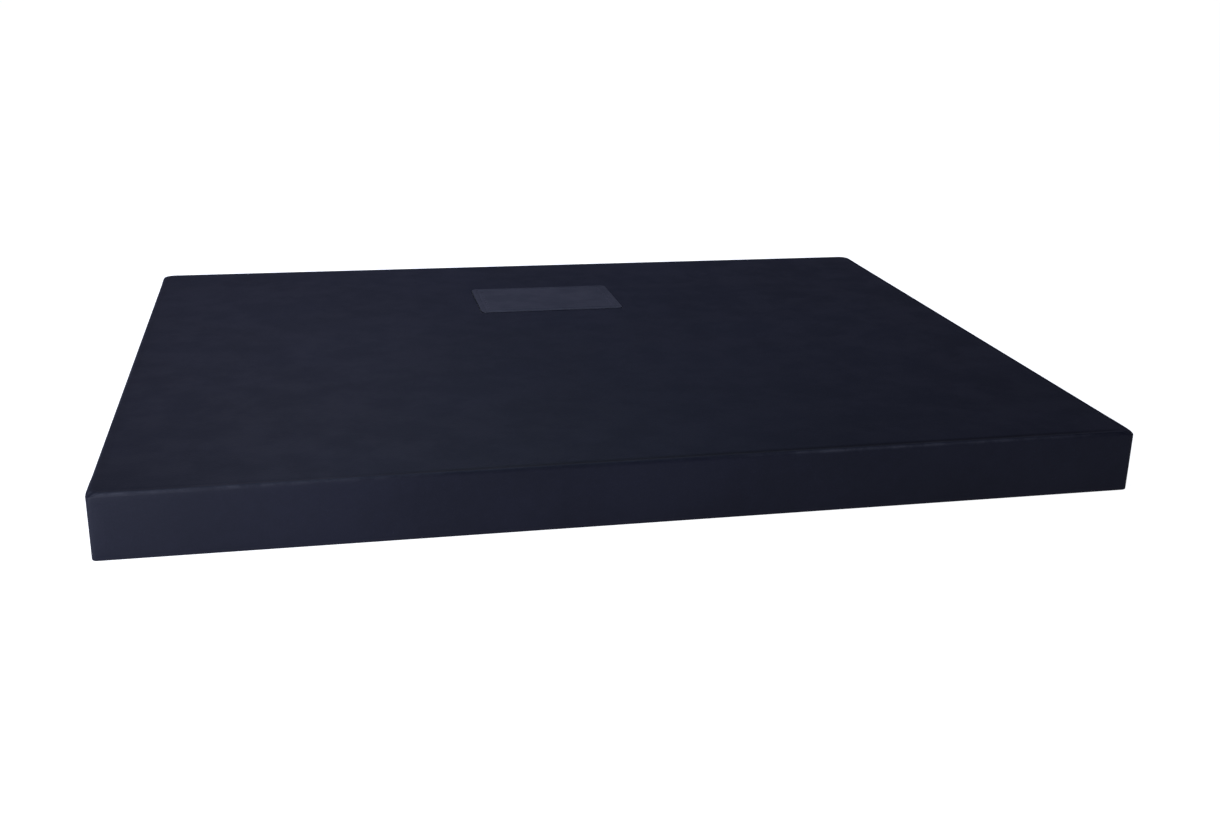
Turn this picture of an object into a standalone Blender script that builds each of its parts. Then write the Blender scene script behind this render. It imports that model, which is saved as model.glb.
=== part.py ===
"""A flat presentation case with a full-depth lift-off lid, holding a set of basalt massage stones.

The case is boards glued into two trays, each covered by a folded skin. Interlocking dividers stand on a
padded floor inside the base and part it into cells, with one stone in each. Metres, +Z up. The origin is the
middle of the underside, X runs along the long side and the front faces -Y.
"""

import math
import random

import bmesh
import bpy

# Outside of the closed case
case_width = 0.465
case_depth = 0.362
case_height = 0.030
top_edge_round = 0.0018
lid_outer_corner = 0.0024
lid_inner_corner = 0.0011

# Stock that the case is made from
board = 0.0025
skin = 0.0005
bottom_sheet_thickness = 0.0008
liner_thickness = 0.0015
floor_pad_thickness = 0.0025

# Room between neighbours
glue_gap = 0.0003
telescope_room = 0.0007
lid_off_table = 0.0006
head_room = 0.0006
divider_end_room = 0.0004

# Folds, notches and plaque
lid_tuck_height = 0.016
base_outer_corner = 0.0020
base_inner_corner = 0.0005
notch_radius = 0.011
plaque_width = 0.0856
plaque_depth = 0.0540
plaque_thickness = 0.0008
plaque_corner = 0.0030
plaque_from_back = 0.0890
plaque_bevel = 0.0002

# Dividers
divider_thickness = 0.0025
divider_below_stones = 0.0030
columns = 6
row_shares = (0.18, 0.23, 0.27, 0.32)

# Stones, one kind to each row from the front row to the back row
stone_names = ("toe", "small", "medium", "large")
stone_widths = (0.042, 0.050, 0.057, 0.061)
stone_lengths = (0.049, 0.064, 0.077, 0.091)
stone_height_shares = (0.735, 0.853, 0.941, 1.0)
stone_head_room = 0.0012
stone_side_room = 0.0025
stone_size_spread = 0.03
stone_turn_spread = math.radians(4)
stone_egg_spread = 0.08
stone_flatness = (2.3, 2.7)
stone_seed = 11

# Fineness of the meshes
corner_segments = 5
round_segments = 4
notch_segments = 40
stone_rings = 10
stone_steps = 18

# A board's edge can be rounded through this share of its thickness
most_board_round = 0.9

# Heights, from the table up
panel_low = bottom_sheet_thickness + glue_gap
panel_high = panel_low + board
floor_low = panel_high + glue_gap
floor_high = floor_low + floor_pad_thickness
stand_on_floor = floor_high + glue_gap
lid_panel_high = case_height - skin - glue_gap
lid_panel_low = lid_panel_high - board
liner_high = lid_panel_low - glue_gap
liner_low = liner_high - liner_thickness
base_top = liner_low - head_room
tallest_stone = liner_low - stone_head_room - stand_on_floor
divider_height = tallest_stone - divider_below_stones

# Half sizes, from the outside in
wall_build = skin + glue_gap + board + glue_gap + skin
lid_half = (case_width / 2, case_depth / 2)
base_half = tuple(half - wall_build - telescope_room for half in lid_half)
inner_half = tuple(half - wall_build for half in base_half)
to_board = skin + glue_gap
to_room = skin + glue_gap + board + glue_gap
notch_cutter_depth = 4 * wall_build

MATERIALS = {
    "navy_skin": ((0.019, 0.021, 0.036), 0.55, 0.0),
    "plaque_metal": ((0.045, 0.048, 0.068), 0.40, 0.6),
    "greyboard": ((0.36, 0.33, 0.29), 0.90, 0.0),
    "black_velvet": ((0.010, 0.010, 0.014), 0.95, 0.0),
    "divider_card": ((0.016, 0.017, 0.024), 0.85, 0.0),
    "basalt": ((0.035, 0.036, 0.038), 0.45, 0.0),
}


def clear_scene():
    """Removes every object that the file opened with."""
    for found in list(bpy.data.objects):
        bpy.data.objects.remove(found, do_unlink=True)


def new_collection(name):
    """Makes a collection in the scene."""
    made = bpy.data.collections.new(name)
    bpy.context.scene.collection.children.link(made)
    return made


def make_material(name):
    """Makes a plain Principled material from its line in MATERIALS."""
    colour, roughness, metallic = MATERIALS[name]
    made = bpy.data.materials.new(name)
    made.use_nodes = True
    shader = made.node_tree.nodes["Principled BSDF"]
    shader.inputs["Base Color"].default_value = (*colour, 1.0)
    shader.inputs["Roughness"].default_value = roughness
    shader.inputs["Metallic"].default_value = metallic
    made.diffuse_color = (*colour, 1.0)
    return made


def add_part(name, data, material, parent=None):
    """Links a mesh or a curve as a named part with its own material."""
    part = bpy.data.objects.new(name, data)
    parts.objects.link(part)
    data.materials.append(make_material(material))
    part.parent = parent
    return part


def add_cutter(name, data):
    """Links a helper that only Booleans use."""
    cutter = bpy.data.objects.new(name, data)
    cutters.objects.link(cutter)
    cutter.hide_render = True
    cutter.display_type = "WIRE"
    return cutter


def boolean(part, cutter, operation="DIFFERENCE"):
    """Adds an exact Boolean to a part."""
    modifier = part.modifiers.new(f"{operation.lower()}_{cutter.name}", "BOOLEAN")
    modifier.operation = operation
    modifier.solver = "EXACT"
    modifier.object = cutter


def mesh_from(bm, name):
    """Turns a bmesh into a mesh."""
    mesh = bpy.data.meshes.new(name)
    bm.to_mesh(mesh)
    bm.free()
    return mesh


def rim_edges(bm, height):
    """Edges that lie flat at this height."""
    return [edge for edge in bm.edges if all(abs(v.co.z - height) < 1e-6 for v in edge.verts)]


def block(low, high, corner=0.0, top_round=0.0):
    """A bmesh box between two corners, with upright edges and the top rim rounded on request."""
    bm = bmesh.new()
    bmesh.ops.create_cube(bm, size=1.0)
    for vertex in bm.verts:
        for axis in range(3):
            vertex.co[axis] = high[axis] if vertex.co[axis] > 0 else low[axis]
    if corner > 0:
        upright = [edge for edge in bm.edges if abs(edge.verts[0].co.z - edge.verts[1].co.z) > 1e-6]
        bmesh.ops.bevel(
            bm, geom=upright, offset=corner, segments=corner_segments, profile=0.5, affect="EDGES"
        )
    if top_round > 0:
        top = rim_edges(bm, high[2])
        bmesh.ops.bevel(
            bm, geom=top, offset=top_round, segments=round_segments, profile=0.5, affect="EDGES"
        )
    return bm


def centred_block(half, z_low, z_high, corner=0.0, top_round=0.0):
    """A rounded box centred on the case's upright axis."""
    return block((-half[0], -half[1], z_low), (half[0], half[1], z_high), corner, top_round)


def move_in(vertex, half, corners):
    """Moves a vertex from the walls' outside outline to the inside one, which has its own corner radius."""
    away = []
    for axis in range(2):
        beyond = max(abs(vertex.co[axis]) - (half[axis] - corners[0]), 0.0)
        away.append(math.copysign(beyond, vertex.co[axis]))
    length = math.hypot(*away)
    for axis in range(2):
        centre = half[axis] - wall_build - corners[1]
        vertex.co[axis] = math.copysign(centre, vertex.co[axis]) + away[axis] / length * corners[1]


def folded_skin(name, half, corners, fold_z, far_z, tuck_z, top_round, material, parent):
    """A skin on the outside of four walls, folded over their free edge and tucked down their inside.

    The corners are the outside and the inside radius. A skin with a top_round is closed over at far_z.
    """
    low_z, high_z = min(fold_z, far_z), max(fold_z, far_z)
    bm = centred_block(half, low_z, high_z, corners[0], top_round)
    open_ends = [fold_z] if top_round > 0 else [fold_z, far_z]
    ends = [face for face in bm.faces if any(abs(face.calc_center_median().z - z) < 1e-6 for z in open_ends)]
    bmesh.ops.delete(bm, geom=ends, context="FACES_ONLY")

    fold = bmesh.ops.extrude_edge_only(bm, edges=rim_edges(bm, fold_z))["geom"]
    lip = [item for item in fold if isinstance(item, bmesh.types.BMVert)]
    lip_edges = [item for item in fold if isinstance(item, bmesh.types.BMEdge)]
    for vertex in lip:
        move_in(vertex, half, corners)
    inner = set(lip)
    lip_edges = [edge for edge in lip_edges if edge.verts[0] in inner and edge.verts[1] in inner]

    tuck = bmesh.ops.extrude_edge_only(bm, edges=lip_edges)["geom"]
    for item in tuck:
        if isinstance(item, bmesh.types.BMVert):
            item.co.z = tuck_z
    bmesh.ops.recalc_face_normals(bm, faces=bm.faces)
    side = max(bm.faces, key=lambda face: face.calc_center_median().x)
    if side.normal.x < 0:
        bmesh.ops.reverse_faces(bm, faces=bm.faces)

    part = add_part(name, mesh_from(bm, name), material, parent)
    solidify = part.modifiers.new("thickness", "SOLIDIFY")
    solidify.thickness = skin
    solidify.offset = -1.0
    solidify.use_even_offset = True
    return part


def add_walls(prefix, half, corner, z_low, z_high, parent):
    """Four boards under a skin: front and back run full width, left and right stand between them."""
    outer = tuple(size - to_board for size in half)
    inner = tuple(size - board for size in outer)
    side_end = inner[1] - glue_gap
    core_mesh = mesh_from(centred_block(outer, z_low, z_high, corner - to_board), f"{prefix}_core")
    core = add_cutter(f"{prefix}_core", core_mesh)
    spans = {
        "front": ((-outer[0], -outer[1]), (outer[0], -inner[1])),
        "back": ((-outer[0], inner[1]), (outer[0], outer[1])),
        "left": ((-outer[0], -side_end), (-inner[0], side_end)),
        "right": ((inner[0], -side_end), (outer[0], side_end)),
    }
    walls = {}
    for side, (low, high) in spans.items():
        name = f"{prefix}_{side}_wall"
        wall = add_part(name, mesh_from(block((*low, z_low), (*high, z_high)), name), "greyboard", parent)
        boolean(wall, core, "INTERSECT")
        walls[side] = wall
    return walls


def add_flat(name, half, corner, z_low, z_high, material, parent, top_round=0.0):
    """A flat rounded board, sheet or pad centred on the case."""
    flat = centred_block(half, z_low, z_high, corner, top_round)
    return add_part(name, mesh_from(flat, name), material, parent)


def build_base(parent):
    """The lower tray: bottom sheet, panel, four walls, folded skin and padded floor."""
    board_half = tuple(size - to_board for size in base_half)
    room_half = tuple(size - to_room for size in base_half)
    board_corner = base_outer_corner - to_board
    corners = (base_outer_corner, base_inner_corner)
    add_flat("base_bottom_sheet", base_half, corners[0], 0.0, bottom_sheet_thickness, "navy_skin", parent)
    add_flat("base_panel", board_half, board_corner, panel_low, panel_high, "greyboard", parent)
    add_walls("base", base_half, corners[0], floor_low, base_top - to_board, parent)
    folded_skin(
        "base_skin", base_half, corners, base_top, panel_low, stand_on_floor, 0.0, "navy_skin", parent
    )
    add_flat("floor_pad", room_half, base_inner_corner, floor_low, floor_high, "black_velvet", parent)


def build_lid(parent):
    """The upper tray: panel, four walls, folded skin with a plaque window, liner and plaque."""
    board_half = tuple(size - to_board for size in lid_half)
    room_half = tuple(size - to_board - board - glue_gap for size in lid_half)
    panel_corner = lid_outer_corner - to_board
    corners = (lid_outer_corner, lid_inner_corner)
    panel_round = min(top_edge_round - to_board, most_board_round * board)
    add_flat(
        "lid_panel", board_half, panel_corner, lid_panel_low, lid_panel_high, "greyboard", parent, panel_round
    )
    wall_low = lid_off_table + to_board
    walls = add_walls("lid", lid_half, corners[0], wall_low, lid_panel_low - glue_gap, parent)
    tuck_z = lid_off_table + lid_tuck_height
    cover = folded_skin(
        "lid_skin",
        lid_half,
        corners,
        lid_off_table,
        case_height,
        tuck_z,
        top_edge_round,
        "navy_skin",
        parent,
    )
    add_flat("lid_liner", room_half, lid_inner_corner, liner_low, liner_high, "black_velvet", parent)
    add_notches(cover, walls)
    add_plaque(cover, parent)


def notch_cutter(name, radius, sign):
    """A short rod along X, across the free edge of a short side of the lid."""
    bm = bmesh.new()
    bmesh.ops.create_cone(
        bm, cap_ends=True, segments=notch_segments, radius1=radius, radius2=radius, depth=notch_cutter_depth
    )
    cutter = add_cutter(name, mesh_from(bm, name))
    cutter.rotation_euler = (0.0, math.pi / 2, 0.0)
    cutter.location = (sign * lid_half[0], 0.0, lid_off_table)
    return cutter


def add_notches(cover, walls):
    """A half-round thumb notch in each short side of the lid, wider in the board for the skin's wrap."""
    for side, sign in (("left", -1), ("right", 1)):
        boolean(cover, notch_cutter(f"{side}_notch_cutter", notch_radius, sign))
        boolean(walls[side], notch_cutter(f"{side}_board_notch_cutter", notch_radius + to_board, sign))


def add_plaque(cover, parent):
    """A blank card-sized plate that stands in a window in the lid's skin."""
    centre_y = lid_half[1] - plaque_from_back
    plate_half = (plaque_width / 2, plaque_depth / 2)
    window_half = tuple(size + glue_gap for size in plate_half)
    window = centred_block(window_half, lid_panel_high, case_height + skin, plaque_corner + glue_gap)
    cutter = add_cutter("plaque_window_cutter", mesh_from(window, "plaque_window_cutter"))
    cutter.location = (0.0, centre_y, 0.0)
    boolean(cover, cutter)
    plate = centred_block(plate_half, 0.0, plaque_thickness, plaque_corner, plaque_bevel)
    plaque = add_part("plaque", mesh_from(plate, "plaque"), "plaque_metal", parent)
    plaque.location = (0.0, centre_y, lid_panel_high + glue_gap)


def cell_edges():
    """The cells between the dividers: each column's span along X and each row's span along Y."""
    free_x = 2 * inner_half[0] - (columns - 1) * divider_thickness
    free_y = 2 * inner_half[1] - (len(row_shares) - 1) * divider_thickness
    spans_x, spans_y = [], []
    at = -inner_half[0]
    for _ in range(columns):
        spans_x.append((at, at + free_x / columns))
        at += free_x / columns + divider_thickness
    at = -inner_half[1]
    for share in row_shares:
        depth = free_y * share / sum(row_shares)
        spans_y.append((at, at + depth))
        at += depth + divider_thickness
    return spans_x, spans_y


def divider_outline(half_length, crossings, slots_open_up):
    """A long strip seen from its side, with a half-deep slot at each crossing."""
    slot_half = divider_thickness / 2 + glue_gap
    middle = divider_height / 2
    slot_end = middle - glue_gap / 2 if slots_open_up else middle + glue_gap / 2
    edge = divider_height if slots_open_up else 0.0
    toothed = [(-half_length, edge)]
    for at in sorted(crossings):
        toothed += [(at - slot_half, edge), (at - slot_half, slot_end)]
        toothed += [(at + slot_half, slot_end), (at + slot_half, edge)]
    toothed.append((half_length, edge))
    plain = divider_height - edge
    return toothed + [(half_length, plain), (-half_length, plain)]


def add_divider(name, outline, along_x, at, parent):
    """A flat outline stood on edge, along X or along Y."""
    curve = bpy.data.curves.new(name, "CURVE")
    curve.dimensions = "2D"
    curve.fill_mode = "BOTH"
    curve.extrude = divider_thickness / 2
    spline = curve.splines.new("POLY")
    spline.points.add(len(outline) - 1)
    for point, (u, v) in zip(spline.points, outline):
        point.co = (u, v, 0.0, 1.0)
    spline.use_cyclic_u = True
    part = add_part(name, curve, "divider_card", parent)
    part.rotation_euler = (math.pi / 2, 0.0, 0.0 if along_x else math.pi / 2)
    part.location = (0.0, at, stand_on_floor) if along_x else (at, 0.0, stand_on_floor)


def build_dividers(spans_x, spans_y, parent):
    """Long dividers slotted from above, and cross dividers slotted from below."""
    lines_x = [high + divider_thickness / 2 for _, high in spans_x[:-1]]
    lines_y = [high + divider_thickness / 2 for _, high in spans_y[:-1]]
    long_outline = divider_outline(inner_half[0] - divider_end_room, lines_x, True)
    cross_outline = divider_outline(inner_half[1] - divider_end_room, lines_y, False)
    for number, at in enumerate(lines_y, 1):
        add_divider(f"long_divider_{number}", long_outline, True, at, parent)
    for number, at in enumerate(lines_x, 1):
        add_divider(f"cross_divider_{number}", cross_outline, False, at, parent)


def stone_mesh(name, half, flatness, egg):
    """A pebble: a sphere squared off by the power flatness, and fuller at one end by the share egg."""
    bm = bmesh.new()
    bmesh.ops.create_uvsphere(bm, u_segments=stone_steps, v_segments=stone_rings, radius=1.0)
    for vertex in bm.verts:
        across = math.hypot(vertex.co.x, vertex.co.y)
        spread = across ** (2 / flatness) / max(across, 1e-9)
        x, y = vertex.co.x * spread, vertex.co.y * spread
        rise = math.copysign(abs(vertex.co.z) ** (2 / flatness), vertex.co.z)
        vertex.co = (half[0] * x * (1 + egg * y) / (1 + abs(egg)), half[1] * y, half[2] * rise)
    mesh = mesh_from(bm, name)
    mesh.shade_smooth()
    return mesh


def build_stones(spans_x, spans_y):
    """One stone to each cell, each a little different, resting on the padded floor."""
    draw = random.Random(stone_seed)
    for row, (low_y, high_y) in enumerate(spans_y):
        for column, (low_x, high_x) in enumerate(spans_x):
            scale = 1 + draw.uniform(-stone_size_spread, stone_size_spread)
            stretch = 1 + draw.uniform(-stone_size_spread, stone_size_spread)
            turn = draw.uniform(-stone_turn_spread, stone_turn_spread)
            egg = draw.uniform(-stone_egg_spread, stone_egg_spread)
            flatness = draw.uniform(*stone_flatness)
            reach_x = (high_x - low_x) / 2 - stone_side_room
            reach_y = (high_y - low_y) / 2 - stone_side_room
            half_x = stone_widths[row] / 2 * scale
            half_y = stone_lengths[row] / 2 * scale * stretch
            lean = abs(math.sin(turn))
            fit = min(1.0, reach_x / (half_x + half_y * lean), reach_y / (half_y + half_x * lean))
            half_z = tallest_stone * stone_height_shares[row] / 2
            name = f"stone_{stone_names[row]}_{column + 1}"
            half = (half_x * fit, half_y * fit, half_z)
            stone = add_part(name, stone_mesh(name, half, flatness, egg), "basalt")
            stone.rotation_euler = (0.0, 0.0, turn)
            stone.location = ((low_x + high_x) / 2, (low_y + high_y) / 2, stand_on_floor + half_z)


def add_group(name):
    """An empty that a body's pieces hang from."""
    group = bpy.data.objects.new(name, None)
    parts.objects.link(group)
    return group


clear_scene()
parts = new_collection("massage_stone_case")
cutters = new_collection("cutters")
build_base(add_group("base_group"))
build_lid(add_group("lid_group"))
columns_x, rows_y = cell_edges()
build_dividers(columns_x, rows_y, add_group("divider_group"))
build_stones(columns_x, rows_y)
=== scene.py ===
import math
import bpy
import numpy as np
from mathutils import Matrix, Vector


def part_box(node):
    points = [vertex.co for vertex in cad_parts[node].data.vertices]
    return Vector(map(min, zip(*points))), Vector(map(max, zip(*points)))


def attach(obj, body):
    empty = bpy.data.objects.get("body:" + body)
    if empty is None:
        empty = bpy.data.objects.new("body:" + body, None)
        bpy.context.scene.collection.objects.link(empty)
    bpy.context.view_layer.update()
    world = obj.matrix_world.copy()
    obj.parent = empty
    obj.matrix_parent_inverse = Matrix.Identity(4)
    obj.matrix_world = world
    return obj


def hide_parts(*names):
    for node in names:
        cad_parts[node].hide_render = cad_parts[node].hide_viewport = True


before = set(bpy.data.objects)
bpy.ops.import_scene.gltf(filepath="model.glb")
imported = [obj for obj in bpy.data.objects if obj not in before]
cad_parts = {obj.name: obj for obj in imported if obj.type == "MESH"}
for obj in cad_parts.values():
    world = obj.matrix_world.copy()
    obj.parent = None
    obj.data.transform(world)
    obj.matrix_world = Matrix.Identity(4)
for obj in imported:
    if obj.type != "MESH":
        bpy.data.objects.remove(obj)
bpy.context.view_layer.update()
print("frame loaded:", len(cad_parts), "nodes")

mm = 0.001


# Node trees: number and colour inputs are set on the socket itself, and only patterns are linked

def addNode(tree, kind, values=(), **settings):
    # one node with its properties set, each named input either linked to a socket or given its value
    made = tree.nodes.new(kind)
    for key, value in settings.items():
        setattr(made, key, value)
    for key, value in dict(values).items():
        if isinstance(value, bpy.types.NodeSocket):
            tree.links.new(value, made.inputs[key])
        else:
            made.inputs[key].default_value = value
    return made


def objectPlace(tree, stretch=(1, 1, 1), turn=(0, 0, 0)):
    # the point on the piece in metres, stretched or turned for patterns that run one way
    place = addNode(tree, "ShaderNodeTexCoord").outputs["Object"]
    return addNode(tree, "ShaderNodeMapping", {0: place, "Rotation": turn, "Scale": stretch}).outputs[0]


def noise(tree, place, size, detail=3.0, rough=0.5):
    # soft random values about 0.5 whose patches are about this size in metres
    values = {"Vector": place, "Scale": 1 / size, "Detail": detail, "Roughness": rough}
    return addNode(tree, "ShaderNodeTexNoise", values).outputs["Fac"]


def cells(tree, place, size, feature="F1"):
    # distance from the nearest of random points about this far apart, in shares of that distance
    values = {"Vector": place, "Scale": 1 / size}
    return addNode(tree, "ShaderNodeTexVoronoi", values, feature=feature).outputs["Distance"]


def remap(tree, value, low, high, toLow=0.0, toHigh=1.0):
    # value from low to high laid on toLow to toHigh, with soft ends
    values = {"Value": value, "From Min": low, "From Max": high, "To Min": toLow, "To Max": toHigh}
    return addNode(tree, "ShaderNodeMapRange", values, interpolation_type="SMOOTHSTEP").outputs[0]


def calc(tree, operation, a, b=0.0):
    # one sum, product or other plain operation of two values
    return addNode(tree, "ShaderNodeMath", {0: a, 1: b}, operation=operation).outputs[0]


def mixColours(tree, share, a, b):
    # colour a where share is 0 and colour b where it is 1
    return addNode(tree, "ShaderNodeMix", {0: share, 6: a, 7: b}, data_type="RGBA").outputs[2]


def painted(tree, name):
    # the value that a piece carries at its own vertices under this name
    return addNode(tree, "ShaderNodeAttribute", attribute_name=name).outputs["Fac"]


def relief(tree, height, depth, under=None):
    # a bump whose height value of 1 stands this many metres proud
    values = {"Height": height, "Distance": depth, "Strength": 1.0}
    if under is not None:
        values["Normal"] = under
    return addNode(tree, "ShaderNodeBump", values).outputs["Normal"]


def newFinish(name, **fixed):
    # a material with its shader's fixed numbers set on their own sockets
    made = bpy.data.materials.new(name)
    made.use_nodes = True
    shader = made.node_tree.nodes["Principled BSDF"]
    for key, value in fixed.items():
        shader.inputs[key.replace("_", " ")].default_value = value
    return made, made.node_tree, shader


def linkFinish(tree, shader, colour, roughness, normal):
    # the three patterns that every finish has
    tree.links.new(colour, shader.inputs["Base Color"])
    tree.links.new(roughness, shader.inputs["Roughness"])
    tree.links.new(normal, shader.inputs["Normal"])


coverLook = {
    "deep": (0.0071, 0.0080, 0.0151, 1),
    "lit": (0.0089, 0.0099, 0.0186, 1),
    # worn: the colour of rubbed edges, also used as a painted highlight along the lid's front edge
    "worn": (0.052, 0.054, 0.068, 1),
    # pinch: painted shade, dark lines in creases, along the flap's step and in the gap round the plaque
    "pinch": (0.0015, 0.0015, 0.003, 1),
    "patch": 55 * mm,
    "mottle": 6 * mm,
    "rubBreaks": 9 * mm,
    "glossPatch": 22 * mm,
    "gloss": (0.52, 0.58),
    "grain": 0.75 * mm,
    "grainDepth": 0.035 * mm,
    "pore": 0.28 * mm,
    "poreDepth": 0.012 * mm,
}


def makeCoverFinish():
    # leatherette: rounded grain cells over fine pores, cloudy colour, edges paler from rub and painted
    # highlight, painted shade in creases
    look = coverLook
    made, tree, shader = newFinish("navyLeatherette", Specular_IOR_Level=0.12)
    place = objectPlace(tree)
    clouds = noise(tree, place, look["patch"], 4)
    pores = noise(tree, place, look["pore"], 2)
    grain = cells(tree, place, look["grain"], "SMOOTH_F1")
    tint = calc(tree, "MULTIPLY_ADD", noise(tree, place, look["mottle"], 3), 0.35)
    tree.links.new(clouds, tint.node.inputs[2])
    colour = mixColours(tree, remap(tree, tint, 0.45, 0.90), look["deep"], look["lit"])
    broken = remap(tree, noise(tree, place, look["rubBreaks"], 6, 0.7), 0.38, 0.62, 0.55, 1.0)
    # paler where rubbed, and along the lid's front edge a painted highlight
    rubAndHighlight = calc(tree, "MULTIPLY", painted(tree, "wear"), broken)
    colour = mixColours(tree, rubAndHighlight, colour, look["worn"])
    # painted shade wherever the piece carries it
    colour = mixColours(tree, painted(tree, "paintedShade"), colour, look["pinch"])
    roughness = remap(tree, noise(tree, place, look["glossPatch"], 5, 0.6), 0.35, 0.65, *look["gloss"])
    bump = relief(tree, grain, look["grainDepth"], relief(tree, pores, look["poreDepth"]))
    linkFinish(tree, shader, colour, roughness, bump)
    return made


plaqueLook = {
    "base": (0.0270, 0.0275, 0.0370, 1),
    "bright": (0.0370, 0.0375, 0.0470, 1),
    "rubbed": (0.07, 0.072, 0.09, 1),
    "gloss": (0.40, 0.52),
    "patch": 18 * mm,
    "streak": (0.30, 40, 1),
    "streakSize": 7 * mm,
    "streakDepth": 0.006 * mm,
}


def makePlaqueFinish():
    # satin metal brushed along its length: colour, gloss and height all follow the same long streaks
    look = plaqueLook
    made, tree, shader = newFinish("satinPlaque", Metallic=0.30, Specular_IOR_Level=0.25)
    streaks = noise(tree, objectPlace(tree, look["streak"]), look["streakSize"], 5, 0.6)
    clouds = noise(tree, objectPlace(tree), look["patch"], 3)
    colour = mixColours(tree, remap(tree, streaks, 0.30, 0.70), look["base"], look["bright"])
    colour = mixColours(tree, painted(tree, "wear"), colour, look["rubbed"])
    roughness = remap(tree, calc(tree, "ADD", streaks, clouds), 0.8, 1.2, *look["gloss"])
    linkFinish(tree, shader, colour, roughness, relief(tree, streaks, look["streakDepth"]))
    return made


velvetLook = {
    "deep": (0.019, 0.020, 0.027, 1),
    "lit": (0.046, 0.048, 0.062, 1),
    "tips": (0.080, 0.083, 0.104, 1),
    "sheen": (0.35, 0.37, 0.48, 1),
    "gloss": (0.88, 0.98),
    "nap": 26 * mm,
    "pile": 0.35 * mm,
    "pileDepth": 0.10 * mm,
}


def makeVelvetFinish():
    # velvet: a dark pile whose nap leans in soft patches, with a sheen at low angles
    look = velvetLook
    made, tree, shader = newFinish(
        "blackVelvet",
        Specular_IOR_Level=0.10,
        Sheen_Weight=0.55,
        Sheen_Roughness=0.35,
        Sheen_Tint=look["sheen"],
    )
    place = objectPlace(tree)
    nap = noise(tree, objectPlace(tree, (1, 0.4, 1)), look["nap"], 4, 0.6)
    pile = noise(tree, place, look["pile"], 2)
    colour = mixColours(tree, remap(tree, nap, 0.35, 0.65), look["deep"], look["lit"])
    colour = mixColours(tree, remap(tree, pile, 0.55, 0.75), colour, look["tips"])
    roughness = remap(tree, nap, 0.3, 0.7, *look["gloss"])
    linkFinish(tree, shader, colour, roughness, relief(tree, pile, look["pileDepth"]))
    return made


cardLook = {
    "deep": (0.052, 0.053, 0.066, 1),
    "lit": (0.070, 0.072, 0.088, 1),
    "tips": (0.098, 0.100, 0.118, 1),
    "rubbed": (0.17, 0.17, 0.19, 1),
    "gloss": (0.82, 0.94),
    "patch": 14 * mm,
    "rubBreaks": 4 * mm,
    "fibre": 0.45 * mm,
    "fibreDepth": 0.07 * mm,
}


def makeCardFinish():
    # flocked card: short fibres over a stiff core, a little paler where the cut edge shows
    look = cardLook
    made, tree, shader = newFinish(
        "flockedCard",
        Specular_IOR_Level=0.15,
        Sheen_Weight=0.30,
        Sheen_Roughness=0.45,
    )
    place = objectPlace(tree)
    fibres = noise(tree, place, look["fibre"], 3, 0.6)
    clouds = noise(tree, place, look["patch"], 4)
    colour = mixColours(tree, remap(tree, clouds, 0.35, 0.65), look["deep"], look["lit"])
    colour = mixColours(tree, remap(tree, fibres, 0.52, 0.72), colour, look["tips"])
    # the high power keeps the rub at the very edge
    nearEdge = calc(tree, "POWER", painted(tree, "wear"), 8.0)
    broken = remap(tree, noise(tree, place, look["rubBreaks"], 5), 0.40, 0.65, 0.2, 0.9)
    colour = mixColours(tree, calc(tree, "MULTIPLY", nearEdge, broken), colour, look["rubbed"])
    roughness = remap(tree, clouds, 0.3, 0.7, *look["gloss"])
    linkFinish(tree, shader, colour, roughness, relief(tree, fibres, look["fibreDepth"]))
    return made


basaltLook = {
    "dark": (0.045, 0.0462, 0.0485, 1),
    "mid": (0.105, 0.1065, 0.1085, 1),
    "fleck": (0.300, 0.296, 0.280, 1),
    "rust": (0.130, 0.108, 0.086, 1),
    "gloss": (0.34, 0.56),
    "patch": 17 * mm,
    "rustPatch": 31 * mm,
    "fleckPatch": 5 * mm,
    "fleckSpacing": 1.5 * mm,
    "grit": 0.55 * mm,
    "gritDepth": 0.035 * mm,
    "pitSpacing": 2.1 * mm,
    "pitDepth": 0.09 * mm,
}


def makeBasaltFinish():
    # honed basalt: fine mineral grain in two greys, scattered pale flecks and small pits, lightly oiled
    look = basaltLook
    made, tree, shader = newFinish(
        "honedBasalt",
        Specular_IOR_Level=0.42,
        Coat_Weight=0.10,
        Coat_Roughness=0.30,
    )
    place = objectPlace(tree)
    clouds = noise(tree, place, look["patch"], 5, 0.6)
    grit = noise(tree, place, look["grit"], 4, 0.65)
    body = calc(tree, "ADD", calc(tree, "MULTIPLY", clouds, 0.6), calc(tree, "MULTIPLY", grit, 0.6))
    colour = mixColours(tree, remap(tree, body, 0.46, 0.76), look["dark"], look["mid"])
    rusty = remap(tree, noise(tree, place, look["rustPatch"], 3), 0.56, 0.74, 0.0, 0.6)
    colour = mixColours(tree, rusty, colour, look["rust"])
    flecks = remap(tree, cells(tree, place, look["fleckSpacing"]), 0.10, 0.17, 1.0, 0.0)
    kept = remap(tree, noise(tree, place, look["fleckPatch"], 2), 0.50, 0.60)
    colour = mixColours(tree, calc(tree, "MULTIPLY", flecks, kept), colour, look["fleck"])
    pits = remap(tree, cells(tree, place, look["pitSpacing"], "SMOOTH_F1"), 0.08, 0.24)
    roughness = remap(tree, calc(tree, "ADD", clouds, grit), 0.8, 1.2, *look["gloss"])
    bump = relief(tree, pits, look["pitDepth"], relief(tree, grit, look["gritDepth"]))
    linkFinish(tree, shader, colour, roughness, bump)
    return made


boardLook = {
    "deep": (0.24, 0.22, 0.19, 1),
    "lit": (0.36, 0.335, 0.295, 1),
    "speck": (0.13, 0.12, 0.11, 1),
    "gloss": (0.86, 0.96),
    "fibre": 1.2 * mm,
    "fibreDepth": 0.05 * mm,
    "speckSpacing": 3.2 * mm,
}


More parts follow.
